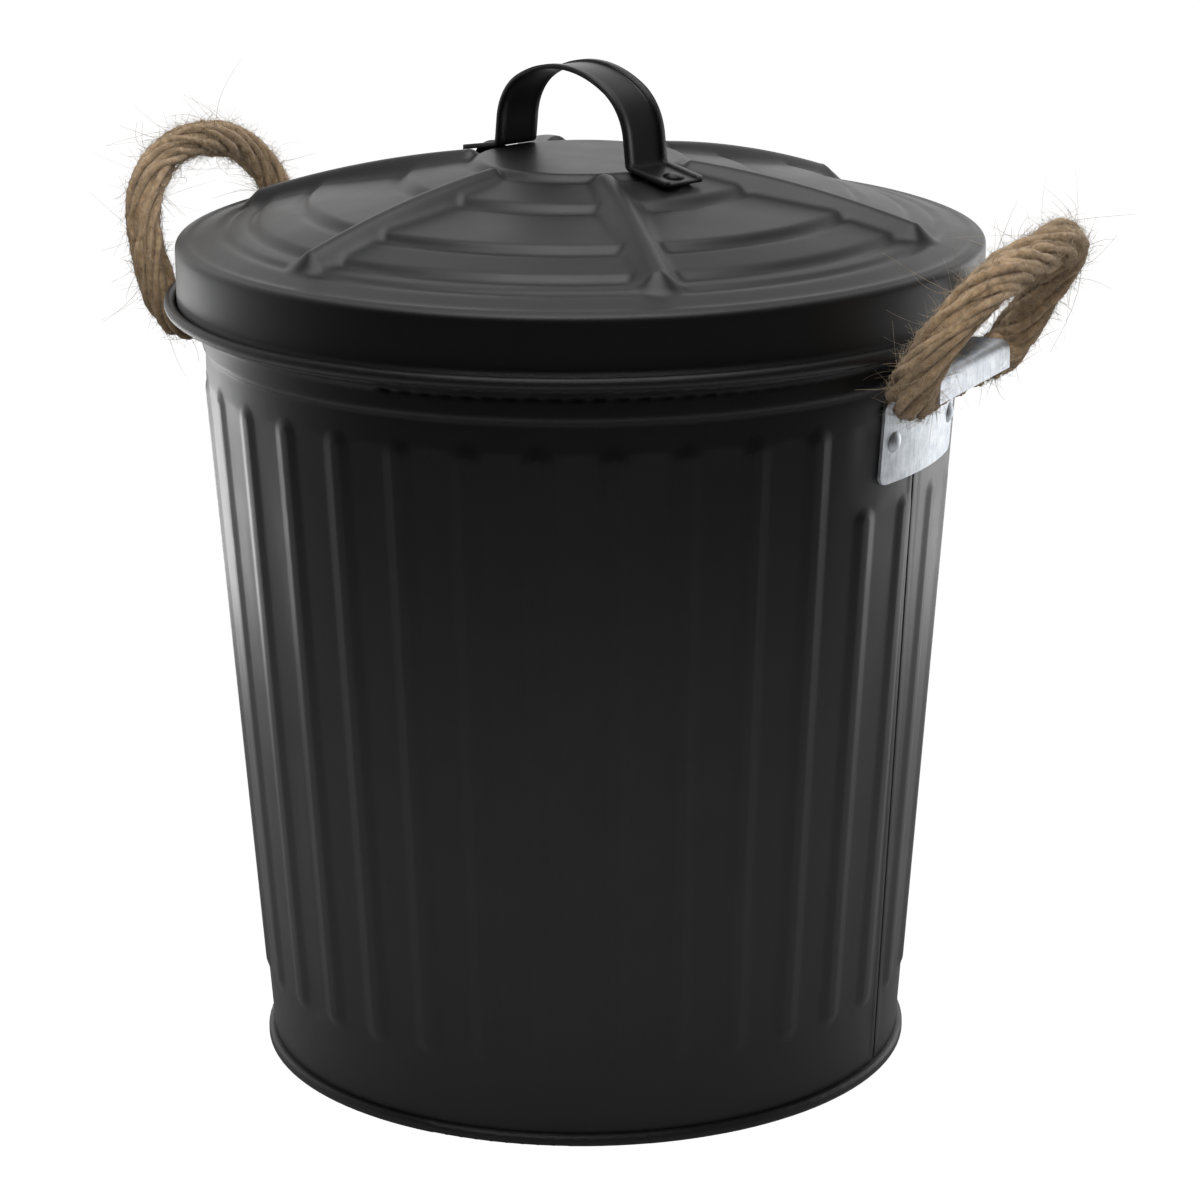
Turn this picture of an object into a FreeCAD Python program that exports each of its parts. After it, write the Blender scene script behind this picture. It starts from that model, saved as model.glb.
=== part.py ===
import FreeCAD, Part
import math
import os

from FreeCAD import Placement, Rotation, Vector

# Trash can with a lift-off lid and rope handles. Millimetres, +Z up. The origin is
# the middle of the base, on the floor, and the two rope brackets lie on the X axis.

# ---- driving dimensions ----
SHEET = 0.6                     # wall and bottom sheet
LID_SHEET = 0.6
CLEAR = 0.05                    # gap between a piece and the seat it can be lifted from

WALL_BASE_R = 112.2             # outside radius of the taper, extended to the floor
TAPER = 0.072                   # growth of the radius per mm of height
CAN_HEIGHT = 266.0              # floor to the underside of the ledge that carries the lid
WALL_EDGE_Z = 2.0               # lower edge of the wall, inside the base bead
TAPER_DROP = 22.0               # below the ledge, where the wall turns upright
BAND_DROP = 10.6                # below the ledge, where the neck band starts
BAND_STEP = 1.1
FLARE_DROP = 3.2
FLARE_OUT = 5.93
LEDGE_WIDTH = 3.3
CURL_R = 2.0
CURL_RISE = 3.8                 # from the ledge's underside to the middle of the curl
CURL_END = -110.0               # degrees: where the curl stops, under the wire
NECK_ROUND = 0.8
FLARE_ROUND = 2.0
COLLAR_ROUND = 1.2

FLUTES = 34
FLUTE_LOW_Z = 28.5
FLUTE_DROP = 19.8               # below the ledge
FLUTE_BELOW_BRACKET = 6.0
FLUTE_WIDTH = 10.4
FLUTE_CREST = 3.4
FLUTE_RISE = 0.9
FLUTE_ROOT = 0.45               # how far a flute's block reaches into the wall

SEAM_WIDTH = 6.0                # lap inside the wall
SEAM_THICK = 0.9
SEAM_GROOVE = 1.2               # open edge of the lap, seen outside
SEAM_DEPTH = 0.4
SEAM_TURN = -1.2                # degrees from the middle of the right bracket
SEAM_TILT = 2.4                 # degrees that the seam leans

BEAD_OUT = 2.3                  # how far the base bead stands out past the wall
BEAD_HEIGHT = 4.2
BEAD_ROUND = 1.4
FLANGE = 0.7
PAN_Z = 7.4                     # underside of the bottom disc
PAN_STEP_IN = 28.0              # from the wall to the step in the bottom disc
PAN_STEP = 1.6
PAN_ROUND = 1.6

LID_GAP = 0.4                   # between the lid's skirt and the rim
LID_HEIGHT = 50.55
SKIRT_HEIGHT = 23.05
LID_TOP_R = 35.2
# each edge of the lid's steps: share of the way out to the skirt and share of the fall
LID_STEPS = [(0.0318, 0.0945), (0.2243, 0.211), (0.2724, 0.327), (0.5476, 0.48),
             (0.5871, 0.585), (0.7219, 0.702), (0.7603, 0.793), (0.8662, 0.858)]
LID_TOP_ROUND = 3.0
LID_STEP_ROUND = 5.0            # on the steps and on the shoulder
HEM_HEIGHT = 5.0
LID_TURN = 39.3                 # degrees that the lid happens to be turned on the can

RIBS = 6
# a rib's crest from its inner to its outer end, as shares like the steps
RIB_CREST = [(0.0462, -0.026), (0.4562, 0.247), (0.763, 0.571)]
RIB_ROUND = 4.0                 # of the crest's section
RIB_FLANK = 40.0                # degrees
RIB_DEPTH = 12.0                # from the crest to the block's underside, inside the lid

GRIP_TURN = 30.0                # degrees from a rib to the lid handle
GRIP_WIDTH = 18.0
GRIP_SHEET = 0.8
GRIP_HEM = 1.6                  # thickness of the hemmed edges
GRIP_HEM_WIDTH = 2.2
GRIP_RISE = 30.8                # inside height of the arch above the lid's top
GRIP_LEG_IN = 2.4               # from the edge of the lid's top in to a leg's foot
FOOT_OUT = 17.3                 # from the edge of the lid's top out to the foot's end
FOOT_SLOPE = 10.0
FOOT_ROUND = 2.0
LEG_LEAN = 7.0
CROWN_SLOPE = 28.0
CROWN_ROUND = 44.4
HAUNCH_ROUND = 19.4
ANKLE_ROUND = 2.3
BOSS_OUT = 11.3                 # from the edge of the lid's top out to the boss
BOSS_TOP_R = 4.6
BOSS_FOOT_R = 6.6
BOSS_DEPTH = 3.0

LID_RIVET_R = 1.9
LID_RIVET_HEAD = (3.7, 1.2)     # radius and height
LID_RIVET_TAIL = (3.2, 0.9)

ROPE = 13.0
ROPE_ROOM = 0.4                 # between the rope and the folded bracket round it
LEAN_RIGHT = 33.0               # degrees outward from upright, as the ropes stand
LEAN_LEFT = 17.0
# half of a rope's route in its own plane: along the hood, and away from the hood
ROUTE_NEAR = [(0.6, 0.3), (21.0, -0.4), (42.5, 0.6), (47.5, 23.0), (43.0, 43.0), (27.0, 57.5)]
ROUTE_TOP = (0.0, 62.5)

BRACKET_SHEET = 1.0
BRACKET_HALF = 30.0             # half width of the plate
BRACKET_HEIGHT = 38.6           # from the hood's underside to the plate's lower edge
BRACKET_ROUND = 3.5
BAND_GAP = 0.2                  # between the neck band and the bracket's neck
HOOD_DROP = 6.1                 # from the ledge to the underside of the hood
HOOD_HALF = 30.75
HOOD_ROUND = 2.5
LIP_HEIGHT = 8.5
NECK_HALF = 21.0
# heights below the underside of the hood
EAR_DROP = 10.4
NECK_FOOT_DROP = 18.9
NECK_TOP_DROP = 8.9
NOTCH_DROP = 3.9
BRACKET_RIVET_DROP = 24.4
BRACKET_RIVET_ALONG = 23.4      # along the wall, from the bracket's middle
BRACKET_RIVET_R = 1.9
BRACKET_RIVET_HEAD = (3.6, 1.5)
BRACKET_RIVET_TAIL = (3.1, 0.9)


# ---- sizes that follow ----
def wall_r(z):
    """Outside radius of the plain wall."""
    return WALL_BASE_R + TAPER * min(z, TAPER_TOP_Z)


def wall_in(z):
    """Inside radius of the plain wall."""
    return wall_r(z) - SHEET * math.hypot(1.0, TAPER)


TAPER_TOP_Z = CAN_HEIGHT - TAPER_DROP
BAND_Z = CAN_HEIGHT - BAND_DROP
BAND_R = wall_r(BAND_Z) + BAND_STEP
LEDGE_R = BAND_R + FLARE_OUT
COLLAR_R = LEDGE_R + LEDGE_WIDTH
RIM_R = COLLAR_R - SHEET + 2.0 * CURL_R
CURL_Z = CAN_HEIGHT + CURL_RISE
LID_R = COLLAR_R - SHEET - LID_GAP
LID_SEAT_Z = CAN_HEIGHT + SHEET + CLEAR
LID_TOP_Z = LID_SEAT_Z + LID_HEIGHT
LID_FALL = LID_HEIGHT - SKIRT_HEIGHT
GRIP_LEG = LID_TOP_R - GRIP_LEG_IN
GRIP_REACH = LID_TOP_R + FOOT_OUT
BOSS_AT = LID_TOP_R + BOSS_OUT
HOOD_Z = CAN_HEIGHT - HOOD_DROP
HOOD_DEPTH = ROPE + 2.0 * ROPE_ROOM
NECK_X = BAND_R + BAND_GAP
AXIS_X = NECK_X + BRACKET_SHEET + HOOD_DEPTH / 2.0
AXIS_Z = HOOD_Z - HOOD_DEPTH / 2.0
BRACKET_LOW_Z = HOOD_Z - BRACKET_HEIGHT

os.makedirs("parts", exist_ok=True)


# ---- helpers ----
def unit(a, b):
    length = math.hypot(b[0] - a[0], b[1] - a[1])
    return ((b[0] - a[0]) / length, (b[1] - a[1]) / length)


def offset_line(points, distance):
    """The same open line moved to its left by a distance, with its corners kept."""
    moved = []
    last = len(points) - 1
    for i, point in enumerate(points):
        before = unit(points[max(i - 1, 0)], points[max(i, 1)])
        after = unit(points[min(i, last - 1)], points[min(i + 1, last)])
        normal = (-before[1] - after[1], before[0] + after[0])
        size = 1.0 + before[0] * after[0] + before[1] * after[1]
        moved.append((point[0] + distance * normal[0] / size,
                      point[1] + distance * normal[1] / size))
    return moved


def rounded_edges(points, radii):
    """Edges of an open line in the XZ plane, with an arc at each inner corner."""
    edges = []
    start = points[0]
    for i in range(1, len(points)):
        corner = points[i]
        radius = radii[i]
        if i == len(points) - 1 or radius <= 0.0:
            edges.append(Part.LineSegment(at(start), at(corner)).toShape())
            start = corner
            continue
        before = unit(points[i - 1], corner)
        after = unit(corner, points[i + 1])
        turn = math.acos(max(-1.0, min(1.0, before[0] * after[0] + before[1] * after[1])))
        reach = radius * math.tan(turn / 2.0)
        enter = (corner[0] - before[0] * reach, corner[1] - before[1] * reach)
        leave = (corner[0] + after[0] * reach, corner[1] + after[1] * reach)
        inward = (after[0] - before[0], after[1] - before[1])
        size = math.hypot(inward[0], inward[1])
        bulge = radius / math.cos(turn / 2.0) - radius
        middle = (corner[0] + inward[0] / size * bulge, corner[1] + inward[1] / size * bulge)
        edges.append(Part.LineSegment(at(start), at(enter)).toShape())
        edges.append(Part.Arc(at(enter), at(middle), at(leave)).toShape())
        start = leave
    return edges


def at(point):
    return Vector(point[0], 0.0, point[1])


def left_turn(before, corner, after):
    return ((corner[0] - before[0]) * (after[1] - corner[1])
            - (corner[1] - before[1]) * (after[0] - corner[0])) > 0.0


def offset_radii(points, radii, distance):
    """Corner radii of the line moved to its left, which bends round the same centres."""
    moved = []
    for i, radius in enumerate(radii):
        if radius <= 0.0 or i in (0, len(points) - 1):
            moved.append(0.0)
        elif left_turn(points[i - 1], points[i], points[i + 1]):
            moved.append(radius - distance)
        else:
            moved.append(radius + distance)
    return moved


def sheet_face(points, radii, thick):
    """Face of a bent sheet: a line with rounded corners and its offset to the left."""
    other = offset_line(points, thick)
    other_radii = offset_radii(points, radii, thick)
    edges = rounded_edges(points, radii)
    edges += rounded_edges(other[::-1], other_radii[::-1])
    edges.append(Part.LineSegment(at(points[0]), at(other[0])).toShape())
    edges.append(Part.LineSegment(at(points[-1]), at(other[-1])).toShape())
    return Part.Face(Part.Wire(Part.__sortEdges__(edges)))


def turned(face):
    return face.revolve(Vector(0, 0, 0), Vector(0, 0, 1), 360)


def filled(points, radii):
    """Solid of revolution between the axis and a line."""
    edges = rounded_edges(points, radii)
    ends = [points[-1], (0.0, points[-1][1]), (0.0, points[0][1]), points[0]]
    for a, b in zip(ends, ends[1:]):
        if math.hypot(b[0] - a[0], b[1] - a[1]) > 0.0:
            edges.append(Part.LineSegment(at(a), at(b)).toShape())
    return turned(Part.Face(Part.Wire(Part.__sortEdges__(edges))))


def placed(shape, degrees):
    """A copy turned about Z. At 0 degrees it lies on +X."""
    copy = shape.copy()
    copy.rotate(Vector(0, 0, 0), Vector(0, 0, 1), degrees)
    return copy


def round_box(half, low, high, radius, near, far):
    """Block along X with rounded corners in the YZ plane."""
    points = [(-half, low), (half, low), (half, high), (-half, high)]
    edges = []
    for i, corner in enumerate(points):
        before = unit(points[i - 1], corner)
        after = unit(corner, points[(i + 1) % 4])
        enter = (corner[0] - before[0] * radius, corner[1] - before[1] * radius)
        leave = (corner[0] + after[0] * radius, corner[1] + after[1] * radius)
        cut = radius * (1.0 - math.sqrt(0.5))
        middle = (corner[0] + (after[0] - before[0]) * cut, corner[1] + (after[1] - before[1]) * cut)
        beyond = points[(i + 1) % 4]
        stop = (beyond[0] - after[0] * radius, beyond[1] - after[1] * radius)
        edges.append(Part.Arc(*[Vector(near, p[0], p[1]) for p in (enter, middle, leave)]).toShape())
        edges.append(Part.LineSegment(Vector(near, *leave), Vector(near, *stop)).toShape())
    face = Part.Face(Part.Wire(Part.__sortEdges__(edges)))
    return face.extrude(Vector(far - near, 0, 0))


def rivet(shank, grip, head, tail):
    """Rivet along Z: the tail's inner side at 0, the head's at the grip length."""
    head_r, head_h = head
    tail_r, tail_h = tail
    ball = (head_r * head_r + head_h * head_h) / (2.0 * head_h)
    half = math.asin(head_r / ball) / 2.0
    ball_z = grip + head_h - ball
    middle = (ball * math.sin(half), ball_z + ball * math.cos(half))
    dome = Part.Arc(at((head_r, grip)), at(middle), at((0, grip + head_h)))
    corners = [(0, grip + head_h), (0, -tail_h), (tail_r * 0.8, -tail_h), (tail_r, 0), (shank, 0),
               (shank, grip), (head_r, grip)]
    edges = [dome.toShape()]
    for a, b in zip(corners, corners[1:]):
        edges.append(Part.LineSegment(at(a), at(b)).toShape())
    return turned(Part.Face(Part.Wire(Part.__sortEdges__(edges))))


def save(name, shape):
    shape = shape.removeSplitter()
    solids = len(shape.Solids)
    print(name, "solids", solids, "valid", shape.isValid(), "volume", round(shape.Volume, 1))
    shape.exportStep("parts/" + name + ".step")


# ---- can wall ----
def wall_line():
    """Outside of the wall, from its lower edge to the ledge under the rim."""
    return [(wall_r(WALL_EDGE_Z), WALL_EDGE_Z), (wall_r(TAPER_TOP_Z), TAPER_TOP_Z),
            (wall_r(BAND_Z), BAND_Z - BAND_STEP), (BAND_R, BAND_Z),
            (BAND_R, CAN_HEIGHT - FLARE_DROP), (LEDGE_R, CAN_HEIGHT),
            (COLLAR_R, CAN_HEIGHT), (COLLAR_R, CURL_Z)]


def flute_block(high_z, sink):
    """One flute as a block with sloping flanks and round ends, its root sunk in the wall."""
    slope = math.atan(TAPER)
    length = (high_z - FLUTE_LOW_Z) / math.cos(slope)
    flare = (FLUTE_WIDTH - FLUTE_CREST) / 2.0 / FLUTE_RISE
    end = length / 2.0 - FLUTE_WIDTH / 2.0
    wires = []
    for height in (-FLUTE_ROOT, FLUTE_RISE):
        half = FLUTE_WIDTH / 2.0 - flare * height
        corners = [Vector(half, end, height), Vector(-half, end, height),
                   Vector(-half, -end, height), Vector(half, -end, height)]
        top = Part.Arc(corners[0], Vector(0, end + half, height), corners[1])
        low = Part.Arc(corners[2], Vector(0, -end - half, height), corners[3])
        left = Part.LineSegment(corners[1], corners[2])
        right = Part.LineSegment(corners[3], corners[0])
        wires.append(Part.Wire([side.toShape() for side in (top, left, low, right)]))
    block = Part.makeLoft(wires, True, True)
    block.translate(Vector(0, 0, -sink))
    # local x along the wall, local y up the taper, local z outward
    upright = Rotation(Vector(0, 1, 0), Vector(TAPER, 0, 1), Vector(1, 0, -TAPER))
    block.Placement = Placement(Vector(0, 0, 0), upright).multiply(block.Placement)
    middle = (high_z + FLUTE_LOW_Z) / 2.0
    block.translate(Vector(wall_r(middle), 0, middle))
    return block


def flute_ring(sink):
    """All the flutes' blocks: those below a bracket are shorter."""
    step = 360.0 / FLUTES
    long_one = flute_block(CAN_HEIGHT - FLUTE_DROP, sink)
    short_one = flute_block(BRACKET_LOW_Z - FLUTE_BELOW_BRACKET, sink)
    blocks = []
    for i in range(FLUTES):
        turn = (i + 0.5) * step
        from_bracket = min(turn % 180.0, 180.0 - turn % 180.0)
        block = short_one if from_bracket < 2.0 * step else long_one
        blocks.append(placed(block, turn))
    return blocks


def seam_bar(inner, outer, low, high, width):
    """Bar along the seam between two distances from the wall's outside."""
    face = Part.Face(Part.makePolygon([
        at((wall_r(low) + inner, low)), at((wall_r(low) + outer, low)),
        at((wall_r(high) + outer, high)), at((wall_r(high) + inner, high)),
        at((wall_r(low) + inner, low))]))
    bar = face.extrude(Vector(0, width, 0))
    bar.translate(Vector(0, -width / 2.0, 0))
    bar.rotate(Vector(0, 0, TAPER_TOP_Z / 2.0), Vector(1, 0, 0), SEAM_TILT)
    return placed(bar, SEAM_TURN)


def make_can_wall():
    line = wall_line()
    radii = [0.0, NECK_ROUND, NECK_ROUND, NECK_ROUND, FLARE_ROUND, FLARE_ROUND, COLLAR_ROUND, 0.0]
    inner_line = offset_line(line, SHEET)
    inner_radii = offset_radii(line, radii, SHEET)
    below = inner_line[0]
    inner_line[0] = (below[0] - TAPER * WALL_EDGE_Z, below[1] - WALL_EDGE_Z)
    outer = filled(line, radii).fuse(flute_ring(0.0))
    inner = filled(inner_line, inner_radii).fuse(flute_ring(SHEET))
    wall = outer.cut(inner)
    low = PAN_Z + 2.0 * SHEET
    strip = seam_bar(-SHEET - SEAM_THICK, -SHEET * 0.6, low, TAPER_TOP_Z, SEAM_WIDTH)
    groove = seam_bar(-SEAM_DEPTH, SHEET, BEAD_HEIGHT, TAPER_TOP_Z, SEAM_GROOVE)
    wall = wall.fuse(strip).cut(groove)
    curl_at = Vector(RIM_R - CURL_R, 0, CURL_Z)
    curl = turned(curl_face(curl_at, CURL_R, SHEET, CURL_END))
    return wall.fuse(curl)


def curl_face(middle, radius, thick, end):
    """Section of the rim curl: from its inner side over the wire and down outside."""
    def ring(r, degrees):
        angle = math.radians(degrees)
        return middle + Vector(r * math.cos(angle), 0, r * math.sin(angle))
    half = (180.0 + end) / 2.0
    outer = Part.Arc(ring(radius, 180.0), ring(radius, half), ring(radius, end)).toShape()
    inner = Part.Arc(ring(radius - thick, 180.0), ring(radius - thick, half), ring(radius - thick, end)).toShape()
    start = Part.LineSegment(ring(radius, 180.0), ring(radius - thick, 180.0)).toShape()
    stop = Part.LineSegment(ring(radius, end), ring(radius - thick, end)).toShape()
    return Part.Face(Part.Wire(Part.__sortEdges__([outer, inner, start, stop])))


def make_rim_wire():
    return Part.makeTorus(RIM_R - CURL_R, CURL_R - SHEET - CLEAR, Vector(0, 0, CURL_Z))


# ---- bottom pan ----
def make_bottom_pan():
    """Bottom disc with a flange down inside the wall, folded out and up over its edge."""
    top = PAN_Z + SHEET
    bead_r = wall_r(BEAD_HEIGHT) + BEAD_OUT
    flange_out = wall_in(top) - CLEAR
    edge_in = wall_in(WALL_EDGE_Z) - CLEAR
    step_r = wall_r(PAN_Z) - PAN_STEP_IN
    line = [(0.0, PAN_Z + PAN_STEP), (step_r, PAN_Z + PAN_STEP), (step_r + PAN_STEP, PAN_Z),
            (flange_out - FLANGE, PAN_Z), (flange_out - FLANGE - TAPER * PAN_Z, 0.0), (bead_r, 0.0),
            (bead_r, BEAD_HEIGHT), (wall_r(BEAD_HEIGHT) + CLEAR, BEAD_HEIGHT),
            (wall_r(WALL_EDGE_Z) + CLEAR, WALL_EDGE_Z), (edge_in, WALL_EDGE_Z), (flange_out, top),
            (step_r + PAN_STEP + SHEET / 2.0, top), (step_r + SHEET / 2.0, top + PAN_STEP),
            (0.0, top + PAN_STEP)]
    radii = [0.0, 0.0, 0.0, PAN_ROUND, BEAD_ROUND / 2.0, BEAD_ROUND, BEAD_ROUND, 0.0, 0.0, 0.0,
             PAN_ROUND + SHEET, 0.0, 0.0, 0.0]
    return filled(line, radii)


# ---- brackets ----
def bracket_plate():
    """The plate that hugs the wall, with round corners."""
    spare = 2.0 * BRACKET_ROUND
    low = BRACKET_LOW_Z - spare
    high = HOOD_Z - EAR_DROP + spare
    line = [(wall_r(high) + CLEAR, high), (wall_r(TAPER_TOP_Z) + CLEAR, TAPER_TOP_Z),
            (wall_r(low) + CLEAR, low)]
    shell = turned(sheet_face(line, [0.0, 0.0, 0.0], BRACKET_SHEET))
    block = round_box(BRACKET_HALF, BRACKET_LOW_Z, HOOD_Z - EAR_DROP, BRACKET_ROUND, 0.0, RIM_R)
    return shell.common(block)


def neck_section(z, inner, flat):
    """Outline of the neck at a height: bowed like the wall, or flat."""
    outer = inner + BRACKET_SHEET
    corners = []
    for radius, y in ((inner, -NECK_HALF), (inner, NECK_HALF), (outer, NECK_HALF), (outer, -NECK_HALF)):
        x = radius if flat else math.sqrt(radius * radius - y * y)
        corners.append(Vector(x, y, z))
    if flat:
        return Part.makePolygon(corners + corners[:1])
    back = Part.Arc(corners[0], Vector(inner, 0, z), corners[1])
    front = Part.Arc(corners[2], Vector(outer, 0, z), corners[3])
    sides = [Part.LineSegment(corners[1], corners[2]), Part.LineSegment(corners[3], corners[0])]
    return Part.Wire([edge.toShape() for edge in (back, sides[0], front, sides[1])])


def make_bracket():
    """Plate, narrower neck and the hood folded out and down over the rope."""
    foot_z = HOOD_Z - NECK_FOOT_DROP
    top_z = HOOD_Z - NECK_TOP_DROP
    neck = Part.makeLoft([neck_section(foot_z, wall_r(foot_z) + CLEAR, False),
                          neck_section(top_z, NECK_X, True)], True, True)
    near = NECK_X + BRACKET_SHEET
    far = near + HOOD_DEPTH
    line = [(near, top_z), (near, HOOD_Z), (far, HOOD_Z), (far, HOOD_Z - LIP_HEIGHT)]
    hood = sheet_face(line, [0.0, HOOD_ROUND, HOOD_ROUND, 0.0], BRACKET_SHEET)
    hood = hood.extrude(Vector(0, 2.0 * HOOD_HALF, 0))
    hood.translate(Vector(0, -HOOD_HALF, 0))
    notch_high = HOOD_Z - NOTCH_DROP - top_z + BRACKET_SHEET
    notch = Part.makeBox(3.0 * BRACKET_SHEET, HOOD_HALF, notch_high,
                         Vector(NECK_X - BRACKET_SHEET, NECK_HALF, top_z - BRACKET_SHEET))
    hood = hood.cut([notch, notch.mirror(Vector(0, 0, 0), Vector(0, 1, 0))])
    bracket = bracket_plate().fuse([neck, hood])
    for side in (-1, 1):
        bracket = bracket.cut(bracket_rivet_tool(side))
    return bracket


def bracket_rivet_place(side):
    """Where a bracket rivet's grip starts, on the inside of the wall, and its outward turn."""
    tilt = math.degrees(math.atan(TAPER))
    z = HOOD_Z - BRACKET_RIVET_DROP
    turn = math.degrees(BRACKET_RIVET_ALONG / wall_r(z))
    around = Placement(Vector(0, 0, 0), Rotation(Vector(0, 0, 1), side * turn))
    outward = Placement(Vector(wall_in(z), 0, z), Rotation(Vector(0, 1, 0), 90.0 + tilt))
    return around.multiply(outward)


def bracket_rivet_tool(side):
    reach = 4.0 * (SHEET + BRACKET_SHEET)
    hole = Part.makeCylinder(BRACKET_RIVET_R, 2.0 * reach, Vector(0, 0, -reach))
    hole.Placement = bracket_rivet_place(side).multiply(hole.Placement)
    return hole


def make_bracket_rivet(side):
    grip = SHEET + BRACKET_SHEET + 3.0 * CLEAR
    body = rivet(BRACKET_RIVET_R, grip, BRACKET_RIVET_HEAD, BRACKET_RIVET_TAIL)
    body.translate(Vector(0, 0, -CLEAR))
    body.Placement = bracket_rivet_place(side).multiply(body.Placement)
    return body


# ---- rope handles ----
def rope_points(lean):
    """Route of a rope, from the middle of the hood round the loop and back."""
    near = list(ROUTE_NEAR)
    far = [(-s, u) for s, u in ROUTE_NEAR[::-1]]
    angle = math.radians(lean)
    points = []
    for s, u in near + [ROUTE_TOP] + far:
        points.append(Vector(AXIS_X + u * math.sin(angle), s, AXIS_Z + u * math.cos(angle)))
    return points


def rope_path(points):
    edges = []
    start = points[0]
    radii = []
    for i in range(1, len(points) - 1):
        before = points[i] - points[i - 1]
        after = points[i + 1] - points[i]
        half = before.getAngle(after) / 2.0
        reach = 0.45 * min(before.Length, after.Length)
        radii.append(reach / math.tan(half))
        before.normalize()
        after.normalize()
        enter = points[i] - before * reach
        leave = points[i] + after * reach
        inward = after - before
        inward.normalize()
        middle = points[i] + inward * (radii[-1] / math.cos(half) - radii[-1])
        edges.append(Part.LineSegment(start, enter).toShape())
        edges.append(Part.Arc(enter, middle, leave).toShape())
        start = leave
    edges.append(Part.LineSegment(start, points[-1]).toShape())
    print("rope radii", [round(r, 1) for r in radii])
    return Part.Wire(edges)


def make_rope(lean):
    points = rope_points(lean)
    path = rope_path(points)
    along = points[1] - points[0]
    circle = Part.Wire(Part.Circle(points[0], along, ROPE / 2.0).toShape())
    tube = path.makePipeShell([circle], True, False)
    print("rope length", round(path.Length, 1), "volume ratio",
          round(tube.Volume / (path.Length * math.pi * ROPE * ROPE / 4.0), 4))
    return tube


# ---- lid ----
def on_lid(point):
    """Radius and height of a point given as shares of the way out and of the fall."""
    return (LID_TOP_R + point[0] * (LID_R - LID_TOP_R), LID_TOP_Z - point[1] * LID_FALL)


def lid_line():
    """Outside of the lid, from the middle to the skirt's lower edge."""
    steps = [on_lid(point) for point in LID_STEPS]
    return ([(0.0, LID_TOP_Z), (LID_TOP_R, LID_TOP_Z)] + steps
            + [(LID_R, LID_SEAT_Z + SKIRT_HEIGHT), (LID_R, LID_SEAT_Z)])


def rib_arc():
    """Middle and radius of the circle through the three crest points."""
    (ax, ay), (bx, by), (cx, cy) = [on_lid(point) for point in RIB_CREST]
    d = 2.0 * (ax * (by - cy) + bx * (cy - ay) + cx * (ay - by))
    a2, b2, c2 = ax * ax + ay * ay, bx * bx + by * by, cx * cx + cy * cy
    ux = (a2 * (by - cy) + b2 * (cy - ay) + c2 * (ay - by)) / d
    uy = (a2 * (cx - bx) + b2 * (ax - cx) + c2 * (bx - ax)) / d
    return (ux, uy), math.hypot(ax - ux, ay - uy)


def rib_section(sink, whole):
    """Section of a rib under its crest, or half of it: a round top and straight flanks."""
    flank = math.radians(RIB_FLANK)
    radius = RIB_ROUND - sink
    touch = (radius * math.sin(flank), -RIB_ROUND + radius * math.cos(flank))
    wide = touch[0] + (touch[1] + RIB_DEPTH) / math.tan(flank)
    if whole:
        first = (-touch[0], touch[1])
        half_way = (0.0, -sink)
        corners = [touch, (wide, -RIB_DEPTH), (-wide, -RIB_DEPTH), first]
    else:
        first = (0.0, -sink)
        half_way = (radius * math.sin(flank / 2.0), -RIB_ROUND + radius * math.cos(flank / 2.0))
        corners = [touch, (wide, -RIB_DEPTH), (0.0, -RIB_DEPTH), first]
    edges = [Part.Arc(at(first), at(half_way), at(touch)).toShape()]
    for a, b in zip(corners, corners[1:]):
        edges.append(Part.LineSegment(at(a), at(b)).toShape())
    return Part.Face(Part.Wire(Part.__sortEdges__(edges)))


def rib_block(sink):
    """One rib on +X: a ridge along the crest arc with a round cone at each end."""
    middle, crest = rib_arc()
    first = on_lid(RIB_CREST[0])
    last = on_lid(RIB_CREST[2])
    start = math.degrees(math.atan2(first[0] - middle[0], first[1] - middle[1]))
    stop = math.degrees(math.atan2(last[0] - middle[0], last[1] - middle[1]))
    crest_at = at((middle[0], middle[1] + crest))
    cone = turned(rib_section(sink, False))
    cone.translate(crest_at)
    section = placed(rib_section(sink, True), 90.0)
    section.translate(crest_at)
    section.rotate(at(middle), Vector(0, 1, 0), start)
    ridge = section.revolve(at(middle), Vector(0, 1, 0), stop - start)
    ends = []
    for turn in (start, stop):
        one = cone.copy()
        one.rotate(at(middle), Vector(0, 1, 0), turn)
        ends.append(one)
    return ridge.fuse(ends)


def foot_place():
    """Underside of a lid handle foot at its rivet: outward along +X, sloping down."""
    drop = math.tan(math.radians(FOOT_SLOPE))
    z = LID_TOP_Z + CLEAR - drop * (BOSS_AT - LID_TOP_R)
    return Placement(Vector(BOSS_AT, 0, z), Rotation(Vector(0, 1, 0), FOOT_SLOPE))


def boss_block(sink):
    narrow = sink * 0.7
    boss = Part.makeCone(BOSS_FOOT_R - narrow, BOSS_TOP_R - narrow, BOSS_DEPTH, Vector(0, 0, -BOSS_DEPTH - sink))
    boss.Placement = foot_place().multiply(boss.Placement)
    return boss


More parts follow.
